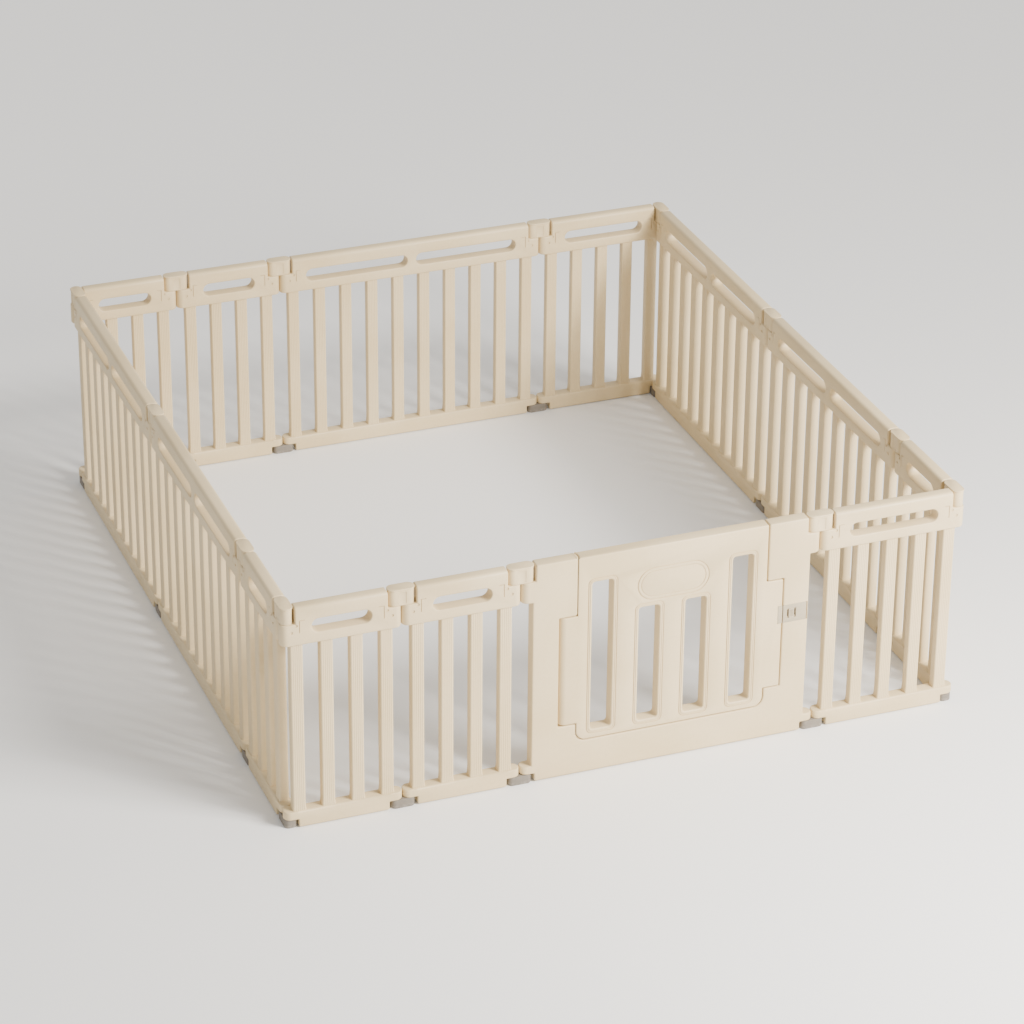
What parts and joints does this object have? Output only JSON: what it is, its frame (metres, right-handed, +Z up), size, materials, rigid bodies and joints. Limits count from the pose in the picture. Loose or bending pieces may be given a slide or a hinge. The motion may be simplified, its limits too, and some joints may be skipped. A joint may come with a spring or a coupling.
{
  "type": "folding playpen",
  "caption": "Square folding playpen: barred plastic panels joined by pinned links in a closed ring, with handle slots, grey feet and a hinged, latched door.",
  "frame": {"origin": "on the floor, in the middle of the ring", "axes": "+X to the right along the gate wall seen from outside, +Y from the gate wall to the back wall, +Z up"},
  "size_m": [1.769, 1.931, 0.6],
  "materials": {
    "cream_plastic": "satin blow-moulded polyethylene",
    "grey_plastic": "matt moulded plastic",
    "latch_plastic": "satin moulded plastic",
    "hinge_steel": "plain steel pin"
  },
  "bodies": {
    "front_small_a": {"front_small_a": "cream_plastic"},
    "front_small_b": {"front_small_b": "cream_plastic"},
    "gate": {"gate_frame": "cream_plastic", "door_pin_top": "hinge_steel", "door_pin_bottom": "hinge_steel", "latch_cover": "latch_plastic"},
    "front_medium": {"front_medium": "cream_plastic"},
    "right_small": {"right_small": "cream_plastic"},
    "right_large_b": {"right_large_b": "cream_plastic"},
    "right_large_a": {"right_large_a": "cream_plastic"},
    "back_medium": {"back_medium": "cream_plastic"},
    "back_large": {"back_large": "cream_plastic"},
    "back_small_b": {"back_small_b": "cream_plastic"},
    "back_small_a": {"back_small_a": "cream_plastic"},
    "left_large_a": {"left_large_a": "cream_plastic"},
    "left_large_b": {"left_large_b": "cream_plastic"},
    "left_small": {"left_small": "cream_plastic"},
    "door": {"gate_door": "cream_plastic", "latch_keeper": "latch_plastic"},
    "latch": {"latch_slider": "latch_plastic"},
    "link_corner_fl": {"link_corner_fl": "cream_plastic", "foot_corner_fl": "grey_plastic"},
    "link_front_1": {"link_front_1": "cream_plastic", "foot_front_1": "grey_plastic"},
    "link_front_2": {"link_front_2": "cream_plastic", "foot_front_2": "grey_plastic"},
    "link_front_3": {"link_front_3": "cream_plastic", "foot_front_3": "grey_plastic"},
    "link_corner_fr": {"link_corner_fr": "cream_plastic", "foot_corner_fr": "grey_plastic"},
    "link_right_1": {"link_right_1": "cream_plastic", "foot_right_1": "grey_plastic"},
    "link_right_2": {"link_right_2": "cream_plastic", "foot_right_2": "grey_plastic"},
    "link_corner_br": {"link_corner_br": "cream_plastic", "foot_corner_br": "grey_plastic"},
    "link_back_1": {"link_back_1": "cream_plastic", "foot_back_1": "grey_plastic"},
    "link_back_2": {"link_back_2": "cream_plastic", "foot_back_2": "grey_plastic"},
    "link_back_3": {"link_back_3": "cream_plastic", "foot_back_3": "grey_plastic"},
    "link_corner_bl": {"link_corner_bl": "cream_plastic", "foot_corner_bl": "grey_plastic"},
    "link_left_1": {"link_left_1": "cream_plastic", "foot_left_1": "grey_plastic"},
    "link_left_2": {"link_left_2": "cream_plastic", "foot_left_2": "grey_plastic"}
  },
  "joints": [
    {"name": "back_large__link_back_2", "type": "hinge", "parent": "back_large", "child": "link_back_2", "pos_m": [-0.267, 0.948, 0.53], "axis": [0, 0, -1], "range_deg": [0, 45]},
    {"name": "link_back_2__back_small_b", "type": "hinge", "parent": "link_back_2", "child": "back_small_b", "pos_m": [-0.303, 0.948, 0.53], "axis": [0, 0, 1], "range_deg": [-45, 0]},
    {"name": "back_small_b__link_back_3", "type": "hinge", "parent": "back_small_b", "child": "link_back_3", "pos_m": [-0.567, 0.948, 0.53], "axis": [0, 0, 1], "range_deg": [-90, 0]},
    {"name": "link_back_3__back_small_a", "type": "hinge", "parent": "link_back_3", "child": "back_small_a", "pos_m": [-0.603, 0.948, 0.53], "axis": [0, 0, -1], "range_deg": [0, 90]},
    {"name": "back_small_a__link_corner_bl", "type": "hinge", "parent": "back_small_a", "child": "link_corner_bl", "pos_m": [-0.867, 0.948, 0.53], "axis": [0, 0, 1], "range_deg": [-90, 0]},
    {"name": "link_corner_bl__left_large_a", "type": "hinge", "parent": "link_corner_bl", "child": "left_large_a", "pos_m": [-0.867, 0.912, 0.53], "axis": [0, 0, -1], "range_deg": [0, 90]},
    {"name": "left_large_a__link_left_1", "type": "hinge", "parent": "left_large_a", "child": "link_left_1", "pos_m": [-0.867, 0.168, 0.53], "axis": [0, 0, 1], "range_deg": [-90, 0]},
    {"name": "link_left_1__left_large_b", "type": "hinge", "parent": "link_left_1", "child": "left_large_b", "pos_m": [-0.867, 0.132, 0.53], "axis": [0, 0, 1], "range_deg": [-90, 0]},
    {"name": "left_large_b__link_left_2", "type": "hinge", "parent": "left_large_b", "child": "link_left_2", "pos_m": [-0.867, -0.612, 0.53], "axis": [0, 0, -1], "range_deg": [-90, 90]},
    {"name": "link_left_2__left_small", "type": "hinge", "parent": "link_left_2", "child": "left_small", "pos_m": [-0.867, -0.648, 0.53], "axis": [0, 0, -1], "range_deg": [-90, 90]},
    {"name": "left_small__link_corner_fl", "type": "hinge", "parent": "left_small", "child": "link_corner_fl", "pos_m": [-0.867, -0.912, 0.53], "axis": [0, 0, 1], "range_deg": [-90, 0]},
    {"name": "link_corner_fl__front_small_a", "type": "hinge", "parent": "link_corner_fl", "child": "front_small_a", "pos_m": [-0.867, -0.948, 0.53], "axis": [0, 0, -1], "range_deg": [0, 60]},
    {"name": "front_small_a__link_front_1", "type": "hinge", "parent": "front_small_a", "child": "link_front_1", "pos_m": [-0.603, -0.948, 0.53], "axis": [0, 0, 1], "range_deg": [-90, 90]},
    {"name": "link_front_1__front_small_b", "type": "hinge", "parent": "link_front_1", "child": "front_small_b", "pos_m": [-0.567, -0.948, 0.53], "axis": [0, 0, -1], "range_deg": [-90, 90]},
    {"name": "front_small_b__link_front_2", "type": "hinge", "parent": "front_small_b", "child": "link_front_2", "pos_m": [-0.303, -0.948, 0.53], "axis": [0, 0, 1], "range_deg": [-90, 0]},
    {"name": "link_front_2__gate", "type": "hinge", "parent": "link_front_2", "child": "gate", "pos_m": [-0.267, -0.948, 0.53], "axis": [0, 0, 1], "range_deg": [-90, 90]},
    {"name": "back_large__link_back_1", "type": "hinge", "parent": "back_large", "child": "link_back_1", "pos_m": [0.477, 0.948, 0.53], "axis": [0, 0, 1], "range_deg": [0, 90]},
    {"name": "link_back_1__back_medium", "type": "hinge", "parent": "link_back_1", "child": "back_medium", "pos_m": [0.513, 0.948, 0.53], "axis": [0, 0, 1], "range_deg": [0, 90]},
    {"name": "back_medium__link_corner_br", "type": "hinge", "parent": "back_medium", "child": "link_corner_br", "pos_m": [0.867, 0.948, 0.53], "axis": [0, 0, -1], "range_deg": [-90, 0]},
    {"name": "link_corner_br__right_large_a", "type": "hinge", "parent": "link_corner_br", "child": "right_large_a", "pos_m": [0.867, 0.912, 0.53], "axis": [0, 0, -1], "range_deg": [-90, 0]},
    {"name": "right_large_a__link_right_2", "type": "hinge", "parent": "right_large_a", "child": "link_right_2", "pos_m": [0.867, 0.168, 0.53], "axis": [0, 0, 1], "range_deg": [-90, 90]},
    {"name": "link_right_2__right_large_b", "type": "hinge", "parent": "link_right_2", "child": "right_large_b", "pos_m": [0.867, 0.132, 0.53], "axis": [0, 0, 1], "range_deg": [-90, 90]},
    {"name": "right_large_b__link_right_1", "type": "hinge", "parent": "right_large_b", "child": "link_right_1", "pos_m": [0.867, -0.612, 0.53], "axis": [0, 0, -1], "range_deg": [-90, 90]},
    {"name": "link_right_1__right_small", "type": "hinge", "parent": "link_right_1", "child": "right_small", "pos_m": [0.867, -0.648, 0.53], "axis": [0, 0, -1], "range_deg": [-90, 90]},
    {"name": "right_small__link_corner_fr", "type": "hinge", "parent": "right_small", "child": "link_corner_fr", "pos_m": [0.867, -0.912, 0.53], "axis": [0, 0, 1], "range_deg": [0, 90]},
    {"name": "link_corner_fr__front_medium", "type": "hinge", "parent": "link_corner_fr", "child": "front_medium", "pos_m": [0.867, -0.948, 0.53], "axis": [0, 0, 1], "range_deg": [0, 90]},
    {"name": "front_medium__link_front_3", "type": "hinge", "parent": "front_medium", "child": "link_front_3", "pos_m": [0.513, -0.948, 0.53], "axis": [0, 0, 1], "range_deg": [-90, 90]},
    {"name": "door_hinge", "type": "hinge", "parent": "gate", "child": "door", "pos_m": [-0.1695, -0.948, 0.3], "axis": [0, 0, 1], "range_deg": [0, 90]},
    {"name": "latch_slide", "type": "slide", "parent": "gate", "child": "latch", "axis": [-1, 0, 0], "range_m": [0, 0.0045]}
  ]
}
